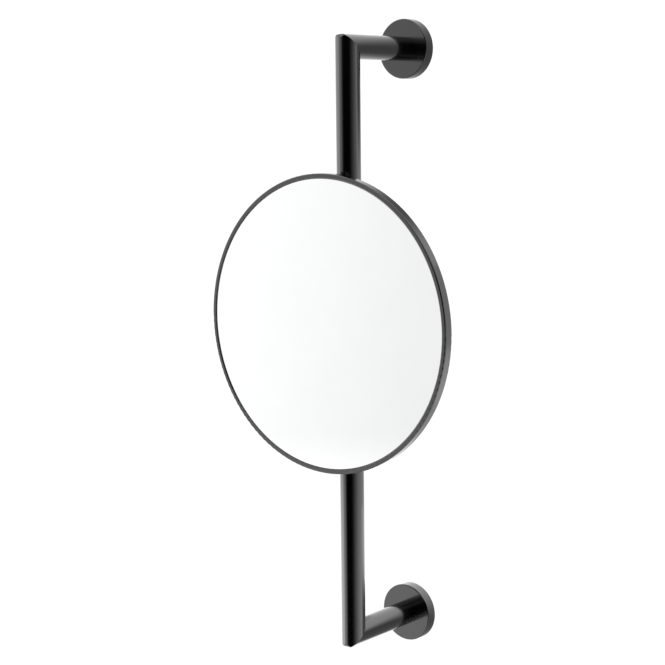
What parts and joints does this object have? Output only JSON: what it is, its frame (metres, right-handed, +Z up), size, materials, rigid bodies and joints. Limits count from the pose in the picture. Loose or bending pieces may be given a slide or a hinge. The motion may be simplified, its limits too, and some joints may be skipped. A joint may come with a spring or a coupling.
{
  "type": "makeup mirror",
  "caption": "Wall-mounted round makeup mirror in satin black: a thin disc mirror slides, swivels and tilts on an upright round post held off the wall by two short arms.",
  "frame": {"origin": "on the wall plane, midway between the centres of the two wall plates", "axes": "+X right for a person facing the mirror, +Y into the wall, +Z up along the post"},
  "size_m": [0.201, 0.0976, 0.444],
  "materials": {
    "black_frame": "satin black powder coat on brass and steel tube",
    "black_rim": "satin black coated aluminium",
    "black_collar": "satin black cast zinc",
    "black_screw": "blackened steel",
    "spring_steel": "spring steel",
    "zinc_steel": "zinc plated",
    "nylon": "black nylon",
    "foam_pad": "adhesive foam",
    "mirror_glass": "silvered flat glass"
  },
  "bodies": {
    "frame": {"post_tube": "black_frame", "upper_arm_tube": "black_frame", "upper_arm_plug": "zinc_steel", "upper_arm_screw": "black_screw", "upper_rosette": "black_frame", "upper_wall_plate": "zinc_steel", "upper_grub_screw": "black_screw", "lower_arm_tube": "black_frame", "lower_arm_plug": "zinc_steel", "lower_arm_screw": "black_screw", "lower_rosette": "black_frame", "lower_wall_plate": "zinc_steel", "lower_grub_screw": "black_screw"},
    "slider": {"slide_sleeve_front": "nylon", "slide_sleeve_rear": "nylon", "upper_snap_ring": "spring_steel", "lower_snap_ring": "spring_steel"},
    "swivel_collar": {"collar_front": "black_collar", "collar_rear": "black_collar", "collar_screws": "black_screw", "tilt_pin": "black_screw", "tilt_nut": "black_screw", "tilt_spring_washer": "spring_steel", "tilt_friction_washers": "nylon"},
    "mirror_head": {"hinge_bracket": "black_collar", "bracket_screws": "black_screw", "back_plate": "black_rim", "rim_ring": "black_rim", "glass_pad": "foam_pad", "mirror_glass": "mirror_glass"}
  },
  "joints": [
    {"name": "height_slide", "type": "slide", "parent": "frame", "child": "slider", "axis": [0, 0, 1], "range_m": [-0.187, 0.151]},
    {"name": "swivel", "type": "hinge", "parent": "slider", "child": "swivel_collar", "pos_m": [0, -0.068, 0.0182], "axis": [0, 0, 1], "range_deg": [-50, 50]},
    {"name": "tilt", "type": "hinge", "parent": "swivel_collar", "child": "mirror_head", "pos_m": [0, -0.0847, 0.0182], "axis": [1, 0, 0], "range_deg": [-7.5, 7.5]}
  ]
}
